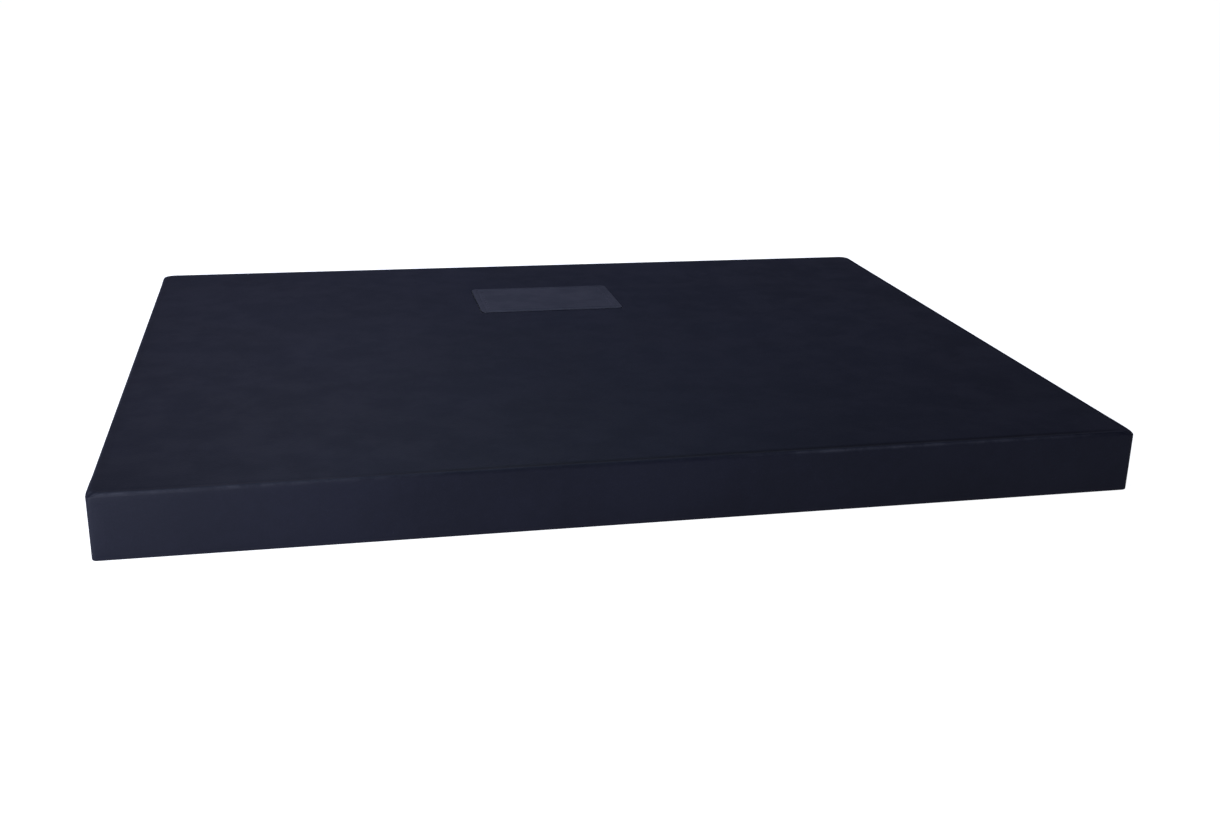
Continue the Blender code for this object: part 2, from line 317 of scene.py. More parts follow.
def makeBoardFinish():
    # greyboard: pressed pulp with long faint fibres and scattered light and dark specks
    look = boardLook
    made, tree, shader = newFinish("greyboard", Specular_IOR_Level=0.20)
    place = objectPlace(tree)
    fibres = noise(tree, objectPlace(tree, (0.3, 1, 1), (0, 0, 0.3)), look["fibre"], 5, 0.65)
    specks = remap(tree, cells(tree, place, look["speckSpacing"]), 0.06, 0.13, 1.0, 0.0)
    colour = mixColours(tree, remap(tree, fibres, 0.35, 0.65), look["deep"], look["lit"])
    colour = mixColours(tree, specks, colour, look["speck"])
    roughness = remap(tree, fibres, 0.3, 0.7, *look["gloss"])
    linkFinish(tree, shader, colour, roughness, relief(tree, fibres, look["fibreDepth"]))
    return made


finishes = {
    "navy_skin": makeCoverFinish(),
    "plaque_metal": makePlaqueFinish(),
    "black_velvet": makeVelvetFinish(),
    "divider_card": makeCardFinish(),
    "basalt": makeBasaltFinish(),
    "greyboard": makeBoardFinish(),
}
print("finishes made:", len(finishes))


# Shapes: points are worked out as whole arrays, rows by columns, and put into the mesh at once

def gridFaces(rows, columns, wrap, flip=False):
    # four-sided faces between neighbouring points of a grid, joined round when wrap is set
    i = np.arange(rows - 1)[:, None]
    j = np.arange(columns if wrap else columns - 1)[None, :]
    right = (j + 1) % columns
    here, below = i * columns, (i + 1) * columns
    quads = np.stack([here + j, below + j, below + right, here + right], -1).reshape(-1, 4)
    return quads[:, ::-1] if flip else quads


def capFaces(ring, first):
    # four-sided faces straight across a closed ring, each station joined to its mirror front to back
    count = len(ring)
    y, halfway = ring[:, 1], ring[:, 1].mean()
    start = int(np.argmax((y > halfway) & (np.roll(y, 1) < halfway)))
    k = np.arange(count // 2 - 1)
    up, down = (start + k) % count, (start - 1 - k) % count
    upNext, downNext = (start + k + 1) % count, (start - 2 - k) % count
    return np.stack([up, upNext, downNext, down], -1) + first


def makePiece(name, points, faces, slotName, body, replaced, marks=None):
    # puts points and faces into a new mesh, smooth, with its finish, and sets it riding on its body
    mesh = bpy.data.meshes.new(name)
    mesh.from_pydata(points.reshape(-1, 3).tolist(), [], faces.tolist())
    mesh.update()
    mesh.polygons.foreach_set("use_smooth", np.ones(len(mesh.polygons), bool))
    # every piece carries a wear share and a painted shade share, zero where none is given
    for mark in ("wear", "paintedShade"):
        values = np.zeros(len(mesh.vertices), np.float32)
        if marks and mark in marks:
            values[:] = np.broadcast_to(marks[mark], points.shape[:-1]).ravel()
        mesh.attributes.new(mark, "FLOAT", "POINT").data.foreach_set("value", values)
    mesh.materials.append(finishes[slotName])
    piece = bpy.data.objects.new(name, mesh)
    bpy.context.scene.collection.objects.link(piece)
    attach(piece, body)
    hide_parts(*replaced)
    return piece


def thicken(piece, thickness):
    # gives a sheet its real thickness, inwards from the side that shows
    solid = piece.modifiers.new("thickness", "SOLIDIFY")
    solid.thickness = thickness
    solid.offset = -1.0
    solid.use_even_offset = True


def step(value, low, high):
    # 0 below low, 1 above high, and a smooth rise between them
    t = np.clip((value - low) / (high - low), 0, 1)
    return t * t * (3 - 2 * t)


def ripple(x, y, waves):
    # a sum of plane waves, each with its length, direction in degrees, phase and height
    total = 0
    for length, heading, phase, height in waves:
        along = x * math.cos(math.radians(heading)) + y * math.sin(math.radians(heading))
        total = total + height * np.sin(2 * math.pi * along / length + phase)
    return total


class Outline:
    # stations once round a rounded rectangle, anticlockwise from the front end of the right side.
    # unit is the place on the core rectangle from -1 to 1, out the way straight out and along the way along.
    # side is 0 right, 1 back, 2 left, 3 front and -1 at a corner.
    # the ticks are shares from -1 to 1 along the short sides and along the long ones
    def __init__(self, shortTicks, longTicks, cornerSteps):
        unit, out, side = [], [], []
        for quarter in range(4):
            ticks = shortTicks if quarter % 2 == 0 else longTicks
            turn = quarter * math.pi / 2
            normal = np.array([round(math.cos(turn)), round(math.sin(turn))], float)
            tangent = np.array([-normal[1], normal[0]])
            unit.append(normal + tangent * ticks[:, None])
            out.append(np.broadcast_to(normal, (len(ticks), 2)))
            side.append(np.full(len(ticks), quarter))
            angles = turn + np.linspace(0, math.pi / 2, cornerSteps + 2)[1:-1]
            unit.append(np.broadcast_to(normal + tangent, (cornerSteps, 2)))
            out.append(np.stack([np.cos(angles), np.sin(angles)], -1))
            side.append(np.full(cornerSteps, -1))
        self.unit, self.out = np.concatenate(unit), np.concatenate(out)
        self.side = np.concatenate(side)
        self.along = np.stack([-self.out[:, 1], self.out[:, 0]], -1)

    def ring(self, half, corner, centre=(0, 0)):
        # the stations of a rounded rectangle of these half sizes and this corner radius
        return self.unit * (np.array(half) - corner) + self.out * corner + np.array(centre)


def halfOf(node):
    # half sizes of a node's box in plan, with its lowest and highest point
    low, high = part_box(node)
    return ((high.x - low.x) / 2, (high.y - low.y) / 2), low.z, high.z


def middle(node, axis):
    # the middle of a node's box along one axis
    low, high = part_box(node)
    return (low[axis] + high[axis]) / 2


# The lid's cover: one sheet from the plaque's window over the top, down the sides and up again inside
lidCover = {
    "corners": {"top": 6.0 * mm, "shoulder": 2.6 * mm, "edge": 1.9 * mm, "inside": 1.1 * mm},
    "topRound": 1.8 * mm,
    "sheet": 0.5 * mm,
    "fold": 4.1 * mm,
    "edgeRound": 0.75 * mm,
    "linerGap": 0.6 * mm,
    "windowGap": 0.3 * mm,
    "windowCorner": 3.3 * mm,
    "notch": 11.0 * mm,
    "notchFillet": 1.5 * mm,
    "notchReach": 22.0 * mm,
    "topWaves": [
        (210 * mm, 20, 0.4, 0.060 * mm),
        (140 * mm, 75, 1.9, 0.045 * mm),
        (85 * mm, 130, 0.7, 0.022 * mm),
    ],
    "sideWaves": [
        (160 * mm, 12, 0.0, 0.050 * mm),
        (70 * mm, 50, 1.2, 0.030 * mm),
        (33 * mm, 8, 2.0, 0.012 * mm),
    ],
    "rubWaves": [(190 * mm, 0, 1.0, 0.5), (61 * mm, 0, 0.2, 0.3), (23 * mm, 0, 2.0, 0.2)],
    "trimWaves": [(57 * mm, 0, 0.5, 0.20 * mm), (21 * mm, 0, 1.5, 0.10 * mm)],
    "settle": (3 * mm, 24 * mm),
    "dip": (0.18 * mm, 3.4 * mm, 1.3 * mm),
    # painted shade in the crease behind the front edge: darkness, inset and width
    "creaseShadeLine": (0.95, 3.3 * mm, 1.5 * mm),
    # along the front edge, by place in mm: how much paler the roundover and free edge are, partly edge rub
    # and partly a painted highlight
    "frontRubAndHighlight": [
        (-232, 0.75), (-180, 0.65), (-112, 0.35), (-88, 0.16), (20, 0.12), (58, 0.45),
        (85, 1.0), (150, 0.9), (178, 0.75), (213, 0.45), (232, 0.15),
    ],
    # along the front edge, by place in mm: how deep the dip is and how dark its painted crease shade is
    "frontCreaseAndShade": [
        (-232, 0.1), (-120, 0.3), (-88, 1.0), (20, 0.95),
        (62, 0.85), (178, 0.8), (213, 0.5), (232, 0.2),
    ],
    "flapStep": 0.18 * mm,
    "flapFromCorner": 1.8 * mm,
    "flapRise": 0.35 * mm,
    # painted shade line along the flap's step: offset from its start and width
    "flapShadeLine": (0.10 * mm, 0.22 * mm),
    "flapUnder": 13 * mm,
    "flapFade": (2 * mm, 4 * mm),
    "flapTicks": (-0.6, 0, 0.15, 0.3, 0.6, 1.2, 2.4),
    "lips": (0, 0.15 * mm, 0.4 * mm, 0.9 * mm),
    "lipDrops": (0.16 * mm, 0.07 * mm, 0.015 * mm, 0.0),
    "fieldInset": 16 * mm,
    "fieldRows": 28,
    "rimInsets": (13, 11, 9.5, 8, 7, 6, 5.2, 4.6, 4.1, 3.7, 3.3, 3.0, 2.7, 2.4, 2.1),
}


def notchPath(place, radius, fillet, reach):
    # the free edge beside a half-round notch, by length along it: straight, a fillet, then the half circle.
    # returns along and up from the straight edge's middle, and the unit way out of the board there
    centre = math.sqrt((radius + fillet) ** 2 - fillet ** 2)
    bend = math.acos(fillet / (radius + fillet))
    straight, turning, arc = reach - centre, fillet * bend, radius * bend
    s = (reach - np.minimum(np.abs(place), reach)) / reach * (straight + turning + arc)
    a = np.clip((s - straight) / fillet, 0, bend)
    b = math.pi / 2 - bend + np.clip((s - straight - turning) / radius, 0, bend)
    onFillet, onArc = s > straight, s > straight + turning
    along = np.where(onArc, radius * np.cos(b), np.where(onFillet, centre - fillet * np.sin(a), reach - s))
    up = np.where(onArc, radius * np.sin(b), np.where(onFillet, fillet - fillet * np.cos(a), 0.0))
    outAlong = np.where(onArc, -np.cos(b), np.where(onFillet, -np.sin(a), 0.0))
    outUp = np.where(onArc, -np.sin(b), -np.cos(a))
    outside = np.abs(place) >= reach
    along = np.where(outside, np.abs(place), along) * np.sign(place)
    return along, np.where(outside, 0.0, up), np.where(outside, 0.0, outAlong) * np.sign(place), outUp


def flapLift(stations, place, coreHalf, spec):
    # how far the short side's flap stands off the board: out over the wrapped corner flap, back where that
    # ends, and a painted shade line along the step where it starts
    toCorner = coreHalf - np.abs(place)
    onShort = (stations.side == 0) | (stations.side == 2)
    over = step(toCorner, spec["flapFromCorner"], spec["flapFromCorner"] + spec["flapRise"])
    before, after = spec["flapFade"]
    beyond = 1 - step(toCorner, spec["flapUnder"] - before, spec["flapUnder"] + after)
    linePlace, lineWidth = spec["flapShadeLine"]
    line = np.exp(-((toCorner - spec["flapFromCorner"] - linePlace) / lineWidth) ** 2)
    return np.where(onShort, over * beyond, 0.0), np.where(onShort, line, 0.0)


def buildLidCover():
    # rows run from the plaque window out over the top and down; columns are the outline's stations
    spec, corners = lidCover, lidCover["corners"]
    half, low, high = halfOf("lid_skin")
    window, _, _ = halfOf("plaque")
    centreY = middle("plaque", 1)
    top, foldWidth, edge = spec["topRound"], spec["fold"], spec["edgeRound"]
    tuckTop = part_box("lid_liner")[0].z - spec["linerGap"]
    core = np.array(half) - corners["shoulder"]
    near = spec["notchReach"] / core[1]
    cut = spec["flapFromCorner"] / core[1]
    ends = 1 - cut - np.array(spec["flapTicks"]) * mm / core[1]
    besideNotch, plainSide = np.linspace(0, near, 27), np.linspace(near, ends[-1], 42)[1:-1]
    shortHalf = np.concatenate([besideNotch, plainSide, ends[::-1], [1]])
    shortTicks = np.unique(np.round(np.concatenate([-shortHalf, shortHalf]), 9))
    stations = Outline(shortTicks, np.linspace(-1, 1, 96), 9)
    place = (stations.unit * core * stations.along).sum(1)
    isShort = (stations.side == 0) | (stations.side == 2)
    isFront = stations.side == 3
    # line is a painted shade line along the step where the short side's flap starts
    lift, line = flapLift(stations, place, core[1], spec)
    lift = lift * spec["flapStep"]

    path = notchPath(place, spec["notch"], spec["notchFillet"], spec["notchReach"])
    edgeAlong, edgeUp, outAlong, outUp = path
    edgeUp, outAlong = np.where(isShort, edgeUp, 0.0), np.where(isShort, outAlong, 0.0)
    outUp = np.where(isShort, outUp, -1.0)
    pinned = np.where(isShort, 1 - step(np.abs(place), spec["notchReach"], 1.6 * spec["notchReach"]), 0.0)
    edgeStart = edgeAlong - outAlong * edge

    rows, wear, paintedShade = [], [], []

    def addRow(points, worn=0.0, shadeAmount=0.0):
        rows.append(points)
        wear.append(np.broadcast_to(worn, len(points)))
        paintedShade.append(np.broadcast_to(shadeAmount, len(points)))

    def addRing(depth, z, radius, along=0.0, worn=0.0, shadeAmount=0.0, proud=0.0):
        # a ring this deep behind the side's face and this high; beside the notch its stations move to along
        flat = stations.ring(np.array(half) - depth, radius)
        shift = (along - (flat * stations.along).sum(1)) * pinned
        flat = flat + stations.along * shift[:, None] + stations.out * np.reshape(proud, (-1, 1))
        addRow(np.column_stack([flat, np.broadcast_to(z, len(flat))]), worn, shadeAmount)

    # top field, from the window's lip out to fieldInset, then offset rings up to the roundover
    windowHalf = np.array(window) + spec["windowGap"]
    corner = spec["windowCorner"]
    flats = [stations.ring(windowHalf + lip, corner + lip, (0, centreY)) for lip in spec["lips"]]
    drops = list(spec["lipDrops"])
    lipEdge = flats[-1]
    fieldEdge = stations.ring(np.array(half) - spec["fieldInset"], corners["top"])
    for share in np.linspace(0, 1, spec["fieldRows"])[1:]:
        flats.append(lipEdge * (1 - share) + fieldEdge * share)
    flats += [stations.ring(np.array(half) - inset * mm, corners["top"]) for inset in spec["rimInsets"]]
    drops += [0.0] * (len(flats) - len(drops))
    creaseAt, creaseShare = np.array(spec["frontCreaseAndShade"]).T
    rubHighlightAt, rubHighlightShare = np.array(spec["frontRubAndHighlight"]).T
    dipDepth, dipPlace, dipWidth = spec["dip"]
    darkest, creasePlace, creaseWidth = spec["creaseShadeLine"]
    for flat, drop in zip(flats, drops):
        x, y = flat[:, 0], flat[:, 1]
        inside = np.minimum(half[0] - np.abs(x), half[1] - np.abs(y))
        settle = step(inside, *spec["settle"])
        creased = np.where(isFront, np.interp(x / mm, creaseAt, creaseShare), 0.15)
        dip = dipDepth * (0.35 + 0.65 * creased) * np.exp(-((inside - dipPlace) / dipWidth) ** 2)
        z = high + ripple(x, y, spec["topWaves"]) * settle - dip - drop
        # painted shade: a dark line in the crease behind the front edge, and round the plaque's window where
        # the lip drops into the gap
        creaseShadeShare = darkest * creased * np.exp(-((inside - creasePlace) / creaseWidth) ** 2)
        addRow(np.column_stack([x, y, z]), 0.0, np.maximum(creaseShadeShare, 0.6 if drop > 0.1 * mm else 0.0))

    # roundover at the top, side, free edge and tuck
    # how much the edge is rubbed; along the front the share comes from the front table and is partly a
    # painted highlight
    uneven = 0.45 + 0.45 * ripple(place, 0 * place, spec["rubWaves"])
    uneven = np.where(isFront, np.interp(place / mm, rubHighlightAt, rubHighlightShare), uneven)
    for angle in np.linspace(0, math.pi / 2, 11):
        share = step(angle, 0.1, math.pi / 2)
        radius = corners["top"] * (1 - share) + corners["shoulder"] * share
        worn = uneven * math.exp(-((angle - 0.65) / 0.45) ** 2)
        z = high - top + top * math.cos(angle)
        addRing(top - top * math.sin(angle), z, radius, place, worn, proud=lift * math.sin(angle))
    for share in np.linspace(0, 1, 12)[1:]:
        radius = corners["shoulder"] * (1 - share) + corners["edge"] * share
        along = place * (1 - share) + edgeStart * share
        z = (high - top) * (1 - share) + (low + edgeUp - outUp * edge) * share
        wave = ripple(place, z, spec["sideWaves"]) * math.sin(math.pi * min(1.0, share * 1.02)) ** 0.7
        addRing(0.0, z, radius, along, shadeAmount=line * 0.8, proud=lift + wave)
    quarter = np.linspace(0, math.pi / 2, 7)
    turns = [(a, edge * (1 - math.cos(a))) for a in quarter[1:]]
    turns += [(a + math.pi / 2, foldWidth - edge * (1 - math.sin(a))) for a in quarter]
    for angle, deep in turns:
        reach = edge * (math.sin(angle) - 1)
        radius = corners["edge"] + (corners["inside"] - corners["edge"]) * deep / foldWidth
        worn = 0.7 * uneven * math.exp(-((angle - 0.8) / 0.5) ** 2)
        proud = lift * (1 - deep / foldWidth)
        addRing(deep, low + edgeUp + outUp * reach, radius, edgeAlong + outAlong * reach, worn, proud=proud)
    trim = ripple(place, 0 * place, spec["trimWaves"])
    for share in np.linspace(0, 1, 9)[1:]:
        z = (low + edgeUp - outUp * edge) * (1 - share) + (tuckTop + trim) * share
        along = edgeStart * (1 - share) + place * share
        addRing(foldWidth, z, corners["inside"], along, worn=0.5 if share == 1 else 0.0)

    points = np.stack(rows)
    faces = gridFaces(len(rows), points.shape[1], True)
    marks = {"wear": np.stack(wear), "paintedShade": np.stack(paintedShade)}
    piece = makePiece("lid_cover", points, faces, "navy_skin", "lid", ["lid_skin"], marks)
    thicken(piece, spec["sheet"])


buildLidCover()
print("lid cover made")


# The base's cover: up the outside of the walls, over their top edge and down inside
baseCover = {
    "corners": {"outside": 2.0 * mm, "inside": 0.5 * mm},
    "sheet": 0.5 * mm,
    "fold": 4.1 * mm,
    "edgeRound": 0.75 * mm,
    "tuckAbovePad": 0.3 * mm,
    "sideWaves": [(170 * mm, 5, 0.7, 0.040 * mm), (64 * mm, 40, 2.2, 0.025 * mm)],
    "rubWaves": [(150 * mm, 0, 2.0, 0.5), (48 * mm, 0, 0.9, 0.3)],
}


def buildBaseCover():
    # rows run from the bottom edge up the side, over the fold and down to the padded floor
    spec = baseCover
    half, low, high = halfOf("base_skin")
    _, _, padTop = halfOf("floor_pad")
    outside, inside = spec["corners"]["outside"], spec["corners"]["inside"]
    fold, edge = spec["fold"], spec["edgeRound"]
    core = np.array(half) - outside
    stations = Outline(np.linspace(-1, 1, 90), np.linspace(-1, 1, 116), 8)
    place = (stations.unit * core * stations.along).sum(1)
    uneven = 0.5 + 0.5 * ripple(place, 0 * place, spec["rubWaves"])
    rows, wear = [], []

    def addRing(depth, z, worn=0.0, proud=0.0):
        # a ring this deep behind the side's face and this high, pushed out by proud
        radius = outside + (inside - outside) * depth / fold
        flat = stations.ring(np.array(half) - depth, radius) + stations.out * np.reshape(proud, (-1, 1))
        rows.append(np.column_stack([flat, np.broadcast_to(z, len(flat))]))
        wear.append(np.broadcast_to(worn, len(flat)))

    for share in np.linspace(0, 1, 11)[:-1]:
        z = low * (1 - share) + (high - edge) * share
        wave = ripple(place, 0 * place + z, spec["sideWaves"]) * math.sin(math.pi * share)
        addRing(0.0, z, proud=wave)
    quarter = np.linspace(0, math.pi / 2, 7)
    turns = [(a, edge * (1 - math.cos(a))) for a in quarter]
    turns += [(a + math.pi / 2, fold - edge * (1 - math.sin(a))) for a in quarter]
    for angle, deep in turns:
        outerRub = 0.9 * math.exp(-((angle - 0.9) / 0.5) ** 2)
        innerRub = 0.6 * math.exp(-((angle - 2.2) / 0.5) ** 2)
        addRing(deep, high - edge + edge * math.sin(angle), uneven * (outerRub + innerRub))
    for share in np.linspace(0, 1, 8)[1:]:
        addRing(fold, (high - edge) * (1 - share) + (padTop + spec["tuckAbovePad"]) * share)

    points = np.stack(rows)
    faces = gridFaces(len(rows), points.shape[1], True, flip=True)
    marks = {"wear": np.stack(wear)}
    piece = makePiece("base_cover", points, faces, "navy_skin", "base", ["base_skin"], marks)
    thicken(piece, spec["sheet"])


buildBaseCover()
print("base cover made")


# The plaque: a plate with a bevelled rim and an engraved border line, left without words
plaque = {
    "corner": 3.0 * mm,
    "leastCorner": 0.35 * mm,
    "bevel": 0.22 * mm,
    "borderInset": 3.2 * mm,
    "borderWidth": 0.55 * mm,
    "borderDepth": 0.14 * mm,
}


def buildPlaque():
    # rings from the underside's middle out, up the rim and in over the top to the middle again
    spec = plaque
    half, low, high = halfOf("plaque")
    centre = (middle("plaque", 0), middle("plaque", 1))
    stations = Outline(np.linspace(-1, 1, 24), np.linspace(-1, 1, 36), 8)
    rows, wear = [], []

    def addRing(inset, z, worn=0.0):
        # a ring this far inside the plate's outline and this high
        corner = max(spec["corner"] - inset, spec["leastCorner"])
        ring = stations.ring(np.maximum(np.array(half) - inset, corner), corner, centre)
        rows.append(np.concatenate([ring, np.full((len(ring), 1), z)], 1))
        wear.append(np.full(len(ring), worn))

    for inset in (6 * mm, 1.2 * mm, 0.1 * mm):
        addRing(inset, low)
    addRing(0.0, low + 0.1 * mm)
    for angle in np.linspace(0, math.pi / 2, 5):
        rise, bevel = math.sin(angle), spec["bevel"]
        addRing(bevel * (1 - math.cos(angle)), high - bevel + bevel * rise, 0.75 * math.sin(2 * angle))
    edgeOf = spec["borderInset"]
    line = edgeOf + spec["borderWidth"] * np.array([-0.5, -0.25, -0.1, 0.1, 0.25, 0.5])
    depths = spec["borderDepth"] * np.array([0, 0.55, 1, 1, 0.55, 0])
    insets = np.concatenate([[0.8 * mm, 1.8 * mm], line, [edgeOf + 1.2 * mm, edgeOf + 3 * mm]])
    drops = np.concatenate([[0, 0], depths, [0, 0]])
    for inset, drop in zip(insets, drops):
        addRing(inset, high - drop)
    points = np.stack(rows)
    count = points.shape[1]
    walls = gridFaces(len(rows), count, True, flip=True)
    under = capFaces(points[0], 0)[:, ::-1]
    over = capFaces(points[-1], (len(rows) - 1) * count)
    faces = np.concatenate([walls, under, over])
    marks = {"wear": np.stack(wear)}
    makePiece("plaque_plate", points, faces, "plaque_metal", "lid", ["plaque"], marks)


buildPlaque()
print("plaque made")


# The velvet pads: one on the floor, raised in each cell and pressed under its stone, and one in the lid
pads = {
    "edgeRound": 0.9 * mm,
    "floorRise": 0.20 * mm,
    "crown": 0.62 * mm,
    "clearDivider": (1.7 * mm, 9 * mm),
    "clearWall": (1.3 * mm, 8 * mm),
    "pressed": (0.48, 0.86),
    "naps": [(31 * mm, 25, 0.3, 0.030 * mm), (19 * mm, 110, 1.4, 0.020 * mm)],
    "linerWaves": [
        (95 * mm, 35, 0.2, 0.070 * mm),
        (58 * mm, 100, 1.7, 0.050 * mm),
        (27 * mm, 150, 0.9, 0.025 * mm),
    ],
    "linerFlat": (2 * mm, 20 * mm),
    "spacing": 2.1 * mm,
}
stoneNames = sorted(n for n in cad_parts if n.startswith("stone_"))
longNames = sorted(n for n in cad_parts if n.startswith("long_divider_"))
crossNames = sorted(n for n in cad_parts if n.startswith("cross_divider_"))


def ticksWithRound(half, edge, spacing):
    # even steps between the rounded margins, and finer ones over them
    bend = edge * (1 - np.cos(np.linspace(0, math.pi / 2, 6)))[:-1]
    inner = np.linspace(0, half - edge, int((half - edge) / spacing))
    right = np.concatenate([inner, half - bend[::-1]])
    return np.concatenate([-right[:0:-1], right])


def padPiece(name, node, body, height, upwards):
    # a pad: over x and y its face is height(x, y) less a rounded margin, then a side, and a flat glued back
    half, low, high = halfOf(node)
    edge, spacing = pads["edgeRound"], pads["spacing"]
    x, y = np.meshgrid(ticksWithRound(half[0], edge, spacing), ticksWithRound(half[1], edge, spacing))
    inwards = np.stack([half[0] - np.abs(x), half[1] - np.abs(y)])
    margin = np.clip(1 - inwards / edge, 0, 1)
    drop = edge * (1 - np.sqrt(np.clip(1 - (margin ** 2).max(0), 0, 1)))
    back, face = (low, high) if upwards else (high, low)
    sign = 1 if upwards else -1
    z = face + sign * (height(x, y, half) - drop)
    rows, columns = x.shape
    top = np.stack([x, y, z], -1).reshape(-1, 3)
    index = np.arange(rows * columns).reshape(rows, columns)
    rim = np.concatenate([index[0, :-1], index[:-1, -1], index[-1, :0:-1], index[:0:-1, 0]])
    ring = top[rim].copy()
    ring[:, 2] = back
    count, first = len(rim), len(top)
    front = gridFaces(rows, columns, False, flip=True)
    nextRim, nextRing = np.roll(rim, -1), first + (np.arange(count) + 1) % count
    side = np.stack([rim, first + np.arange(count), nextRing, nextRim], -1)
    under = capFaces(ring, first)[:, ::-1]
    faces = np.concatenate([front, side, under])
    faces = faces if upwards else faces[:, ::-1]
    piece = makePiece(name, np.concatenate([top, ring]), faces, "black_velvet", body, [node])


def floorHeight(x, y, half):
    # raised between the dividers and walls, and pressed flat again under every stone
    toCross = np.min([np.abs(x - middle(n, 0)) for n in crossNames], 0)
    toLong = np.min([np.abs(y - middle(n, 1)) for n in longNames], 0)
    toWall = np.minimum(half[0] - np.abs(x), half[1] - np.abs(y))
    crown = step(np.minimum(toCross, toLong), *pads["clearDivider"]) * step(toWall, *pads["clearWall"])
    for node in stoneNames:
        (halfX, halfY), _, _ = halfOf(node)
        away = np.hypot((x - middle(node, 0)) / halfX, (y - middle(node, 1)) / halfY)
        crown = crown * step(away, *pads["pressed"])
    return pads["floorRise"] + crown * (pads["crown"] + ripple(x, y, pads["naps"]))


def linerHeight(x, y, half):
    # slow waves in the pad's face, flat at its margins
    toWall = np.minimum(half[0] - np.abs(x), half[1] - np.abs(y))
    return ripple(x, y, pads["linerWaves"]) * step(toWall, *pads["linerFlat"])


padPiece("floor_velvet", "floor_pad", "base", floorHeight, True)
padPiece("lid_velvet", "lid_liner", "lid", linerHeight, False)
print("pads made")


# The dividers: a rounded section carried along each strip, cut half deep at every crossing
divider = {
    "round": 0.35 * mm,
    "slotHalf": 1.55 * mm,
    "slotGap": 0.15 * mm,
    "slotLip": [(-0.32 * mm, 0.0), (-0.12 * mm, 0.08 * mm), (-0.02 * mm, 0.30 * mm)],
    "slotFoot": (0.15 * mm, 0.2 * mm),
    "endRound": 0.12 * mm,
    "bow": 0.16 * mm,
    "between": 5,
}


def buildDivider(node, alongX, crossNodes):
    # stations run along the strip; at a slot the section's open edge steps to the strip's middle and back
    spec = divider
    low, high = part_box(node)
    axis = 0 if alongX else 1
    start, end = low[axis], high[axis]
    at, thick = middle(node, 1 - axis), (high[1 - axis] - low[1 - axis]) / 2
    floor, top = low.z, high.z
    centre = (floor + top) / 2
    crossings = np.sort([middle(n, axis) for n in crossNodes])
    edge = spec["round"]
    cut = centre - spec["slotGap"] if alongX else centre + spec["slotGap"]
    plain = top if alongX else floor
    inwards = -1 if alongX else 1
    endRound, slot, lip = spec["endRound"], spec["slotHalf"], spec["slotLip"]
    footIn, footUp = spec["slotFoot"]
    foot = cut - inwards * footUp
    stations = [(start, plain, 1.0), (start + endRound, plain, 0.4), (start + edge, plain, 0.0)]
    marks = np.concatenate([[start], crossings, [end]])
    for number, place in enumerate(marks[1:], 1):
        before = marks[number - 1]
        spread = np.linspace(before, place, spec["between"] + 2)[1:-1]
        stations += [(s, plain, 0.0) for s in spread]
        if number < len(marks) - 1:
            stations += [(place - slot + away, plain + inwards * fall, 0.0) for away, fall in lip]
            stations += [(place - slot, foot, 0.0), (place - slot + footIn, cut, 0.0)]
            stations += [(place + slot - footIn, cut, 0.0), (place + slot, foot, 0.0)]
            stations += [(place + slot - away, plain + inwards * fall, 0.0) for away, fall in lip[::-1]]
    stations += [(end - edge, plain, 0.0), (end - endRound, plain, 0.4), (end, plain, 1.0)]
    run, openEdge, pinch = np.array(stations).T
    lowEdge = np.full(len(run), floor) if alongX else openEdge
    highEdge = openEdge if alongX else np.full(len(run), top)

    quarter = np.linspace(0, math.pi / 2, 4)
    across = np.concatenate([thick - edge + edge * np.sin(quarter), thick - edge + edge * np.cos(quarter)])
    hang = np.concatenate([edge * (np.cos(quarter) - 1), edge * (1 - np.sin(quarter))])
    share = np.concatenate([np.ones(4), np.zeros(4)])
    across = np.concatenate([across, -across[::-1]])
    hang, share = np.concatenate([hang, hang[::-1]]), np.concatenate([share, share[::-1]])
    nearest = np.abs(run[:, None] - marks[None, :]).min(1)
    gap = np.interp(run, marks, np.arange(len(marks)))
    side = np.where(np.floor(gap) % 2 == 0, 1, -1)
    bow = spec["bow"] * side * np.sin(math.pi * (gap % 1)) ** 2 * step(nearest, 2 * mm, 6 * mm)
    squeeze = pinch[:, None] * edge
    sideways = at + bow[:, None] + across[None, :] - np.sign(across)[None, :] * squeeze
    up = lowEdge[:, None] * (1 - share) + highEdge[:, None] * share + hang + squeeze * (1 - 2 * share)
    along = np.broadcast_to(run[:, None], up.shape)
    points = np.stack([along, sideways, up] if alongX else [sideways, along, up], -1)
    count = points.shape[1]
    k = np.arange(count // 2 - 1)
    cap = np.stack([k, k + 1, count - 2 - k, count - 1 - k], -1)
    last = (len(run) - 1) * count
    body = gridFaces(len(run), count, True)
    faces = np.concatenate([body, cap[:, ::-1], cap + last])
    faces = faces[:, ::-1] if alongX else faces
    wear = np.broadcast_to(share, up.shape)
    makePiece(node + "_card", points, faces, "divider_card", "dividers", [node], {"wear": wear})


for name in longNames:
    buildDivider(name, True, crossNames)
for name in crossNames:
    buildDivider(name, False, longNames)
print("dividers made:", len(longNames) + len(crossNames))


# The stones: a ball squared off a little, fuller at one end, with soft lumps of its own
stone = {
    "steps": 24,
    "flatness": 2.5,
    "flatnessSpread": 0.15,
    "mostOver": 1.005,
    "lumps": [(2, 4, 0.0120), (4, 7, 0.0055), (8, 12, 0.0020)],
    "eachKind": 5,
}


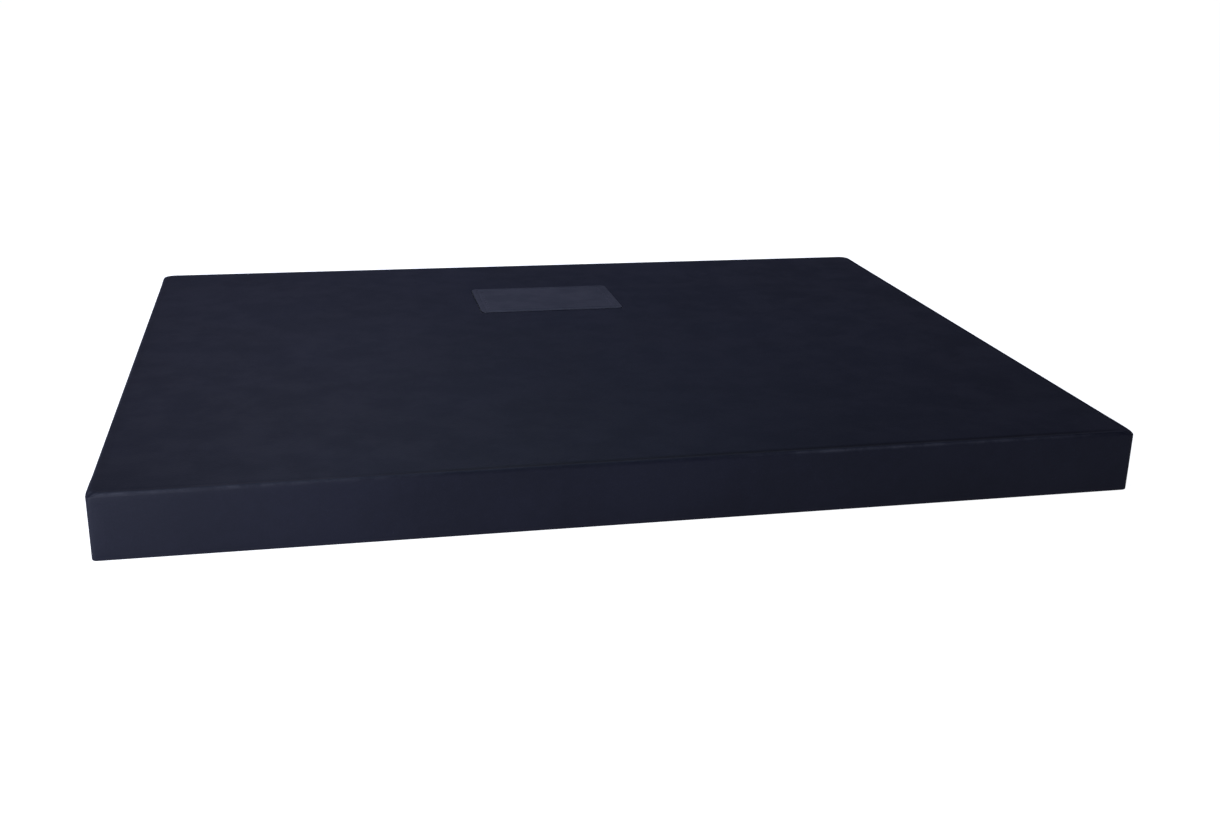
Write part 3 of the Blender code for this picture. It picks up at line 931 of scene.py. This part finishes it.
def cubeBall(steps):
    # the skin of a cube's point lattice drawn out to a unit ball: four-sided faces, closed, without poles
    ticks = np.arange(steps + 1)
    a, b = np.meshgrid(ticks, ticks, indexing="ij")
    flat = gridFaces(steps + 1, steps + 1, False)
    corners, faces = [], []
    for axis in range(3):
        for level in (0, steps):
            lattice = np.zeros(a.shape + (3,), int)
            lattice[..., axis] = level
            lattice[..., (axis + 1) % 3], lattice[..., (axis + 2) % 3] = a, b
            faces.append((flat if level else flat[:, ::-1]) + len(corners) * a.size)
            corners.append(lattice.reshape(-1, 3))
    shared, back = np.unique(np.concatenate(corners), axis=0, return_inverse=True)
    spread = np.tan((shared / steps * 2 - 1) * math.pi / 4)
    faces = back.reshape(-1)[np.concatenate(faces)]
    return spread / np.linalg.norm(spread, axis=1, keepdims=True), faces


def readStone(node):
    # centre, turn and half sizes of a stone's solid, and by what share it is fuller at its far end
    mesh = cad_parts[node].data
    points = np.zeros(len(mesh.vertices) * 3)
    mesh.vertices.foreach_get("co", points)
    points = points.reshape(-1, 3)
    centre = (points.min(0) + points.max(0)) / 2
    flat = points[:, :2] - centre[:2]
    spread = flat.T @ flat
    turn = 0.5 * math.atan2(2 * spread[0, 1], spread[0, 0] - spread[1, 1]) - math.pi / 2
    turn = (turn + math.pi / 2) % math.pi - math.pi / 2
    spin = np.array([[math.cos(turn), -math.sin(turn)], [math.sin(turn), math.cos(turn)]])
    own = flat @ spin
    offset = (own.min(0) + own.max(0)) / 2
    centre[:2] += spin @ offset
    own = own - offset
    half = np.abs(own).max(0)
    y = own[:, 1] / half[1]
    egg = (np.abs(own[:, 0]) * y).sum() / (np.abs(own[:, 0]) * y * y).sum()
    return centre, spin, (half[0], half[1], np.ptp(points[:, 2]) / 2), egg


ball, ballFaces = cubeBall(stone["steps"])


def buildStone(node, seed):
    # half sizes times the squared-off ball, the egg share across, and a sum of random waves as lumps
    centre, spin, half, egg = readStone(node)
    draw = np.random.default_rng(seed)
    power = 2 / (stone["flatness"] + draw.uniform(-stone["flatnessSpread"], stone["flatnessSpread"]))
    across = np.maximum(np.hypot(ball[:, 0], ball[:, 1]), 1e-9)
    flat = ball[:, :2] * (across ** (power - 1))[:, None]
    rise = np.sign(ball[:, 2]) * np.abs(ball[:, 2]) ** power
    lump = np.zeros(len(ball))
    for slow, fast, size in stone["lumps"]:
        for _ in range(stone["eachKind"]):
            heading = draw.normal(size=3)
            heading *= draw.uniform(slow, fast) / np.linalg.norm(heading)
            lump += size * np.sin(ball @ heading + draw.uniform(0, 2 * math.pi))
    x = half[0] * flat[:, 0] * (1 + egg * flat[:, 1]) / (1 + abs(egg)) * (1 + lump)
    y = half[1] * flat[:, 1] * (1 + lump)
    z = rise * (1 + lump)
    z = (z - z.min()) / np.ptp(z) * 2 * half[2] - half[2]
    over = stone["mostOver"]
    scale = min(1.0, half[0] / np.abs(x).max() * over, half[1] / np.abs(y).max() * over)
    plan = np.stack([x, y], -1) * scale @ spin.T
    points = np.column_stack([plan, z]) + centre
    makePiece(node + "_basalt", points, ballFaces, "basalt", node, [node])


for seed, name in enumerate(stoneNames):
    buildStone(name, seed)
print("stones made:", len(stoneNames))


# The boards and the bottom sheet keep their CAD shape and take their finish
for name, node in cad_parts.items():
    if name.endswith(("_wall", "_panel")):
        node.data.materials[0] = finishes["greyboard"]
    if name == "base_bottom_sheet":
        node.data.materials[0] = finishes["navy_skin"]
print("boards finished")


# Stage, world, lights and camera
stage = {
    "floor": (0.90, 0.90, 0.90, 1),
    "floorHalf": 9.0,
    "zenith": (0.010, 0.010, 0.014, 1),
    "horizon": (0.198, 0.205, 0.308, 1),
    "glow": 0.31,
    "whiteness": 0.64,
    "sky": (1.0, 1.0, 1.0, 1),
}


def buildFloor():
    # a wide pale plane under the case, with a glow of its own and a stronger one as the camera sees it
    size = stage["floorHalf"]
    points = [(-size, -size, 0), (size, -size, 0), (size, size, 0), (-size, size, 0)]
    mesh = bpy.data.meshes.new("studioFloor")
    mesh.from_pydata(points, [], [(0, 1, 2, 3)])
    made, tree, shader = newFinish("paleFloor", Specular_IOR_Level=0.0, Roughness=0.9)
    shader.inputs["Base Color"].default_value = stage["floor"]
    shader.inputs["Emission Color"].default_value = (1, 1, 1, 1)
    seen = addNode(tree, "ShaderNodeLightPath").outputs["Is Camera Ray"]
    lift = calc(tree, "MULTIPLY_ADD", seen, stage["whiteness"])
    lift.node.inputs[2].default_value = stage["glow"]
    tree.links.new(lift, shader.inputs["Emission Strength"])
    mesh.materials.append(made)
    floor = bpy.data.objects.new("studioFloor", mesh)
    bpy.context.scene.collection.objects.link(floor)


def buildWorld():
    # a plain white backdrop for the camera, and for its light a dim bluish room that is darkest overhead
    world = bpy.data.worlds.new("softRoom")
    world.use_nodes = True
    tree = world.node_tree
    tree.nodes.clear()
    way = addNode(tree, "ShaderNodeTexCoord").outputs["Generated"]
    height = addNode(tree, "ShaderNodeSeparateXYZ", {0: way}).outputs[2]
    room = mixColours(tree, remap(tree, height, 0.25, 0.85), stage["horizon"], stage["zenith"])
    seen = addNode(tree, "ShaderNodeLightPath").outputs["Is Camera Ray"]
    colour = mixColours(tree, seen, room, stage["sky"])
    glow = addNode(tree, "ShaderNodeBackground", {"Color": colour, "Strength": 1.0})
    addNode(tree, "ShaderNodeOutputWorld", {"Surface": glow.outputs[0]})
    bpy.context.scene.world = world


lights = {
    "overhead": {
        "place": (-0.05, 0.15, 0.50),
        "target": (-0.05, 0.10, 0),
        "size": (0.36, 0.36),
        "power": 1.16,
        "colour": (0.55, 0.72, 1.0),
    },
    "coolFront": {
        "place": (-0.50, -0.55, 0.11),
        "target": (-0.22, -0.18, 0),
        "size": (0.30, 0.14),
        "power": 4.0,
        "colour": (0.82, 0.86, 1.0),
    },
    "behind": {
        "place": (-0.20, 0.45, 0.45),
        "target": (-0.10, 0.10, 0),
        "size": (0.36, 0.36),
        "power": 0.36,
        "colour": (0.70, 0.68, 1.0),
    },
}


def softLight(name, place, target, size, power, colour):
    # a rectangular soft box that faces a point
    data = bpy.data.lights.new(name, "AREA")
    data.shape = "RECTANGLE"
    data.size, data.size_y = size
    data.energy = power
    data.color = colour
    lamp = bpy.data.objects.new(name, data)
    bpy.context.scene.collection.objects.link(lamp)
    lamp.location = place
    lamp.visible_camera = False
    lamp.rotation_euler = (Vector(target) - Vector(place)).to_track_quat("-Z", "Y").to_euler()


camera = {
    "place": (-0.1398, -0.7061, 0.2456),
    "yaw": 0.2244,
    "pitch": 0.3412,
    "roll": -0.0249,
    "lens": 39.94,
}


def buildCamera():
    # looks along yaw to the right of +Y and pitch below level, then rolls about that line
    yaw, pitch, roll = camera["yaw"], camera["pitch"], camera["roll"]
    ahead = Vector((math.sin(yaw) * math.cos(pitch), math.cos(yaw) * math.cos(pitch), -math.sin(pitch)))
    right = Vector((math.cos(yaw), -math.sin(yaw), 0))
    down = ahead.cross(right)
    rolledRight = right * math.cos(roll) + down * math.sin(roll)
    rolledDown = down * math.cos(roll) - right * math.sin(roll)
    turn = Matrix((rolledRight, -rolledDown, -ahead)).transposed()
    data = bpy.data.cameras.new("studioCamera")
    data.lens = camera["lens"]
    data.sensor_width = 36
    made = bpy.data.objects.new("studioCamera", data)
    bpy.context.scene.collection.objects.link(made)
    made.matrix_world = Matrix.Translation(camera["place"]) @ turn.to_4x4()
    data.clip_start, data.clip_end = 0.01, 50
    bpy.context.scene.camera = made


buildFloor()
buildWorld()
for name, look in lights.items():
    softLight(name, **look)
buildCamera()
bpy.context.scene.view_settings.view_transform = "Standard"
print("stage, lights and camera made")
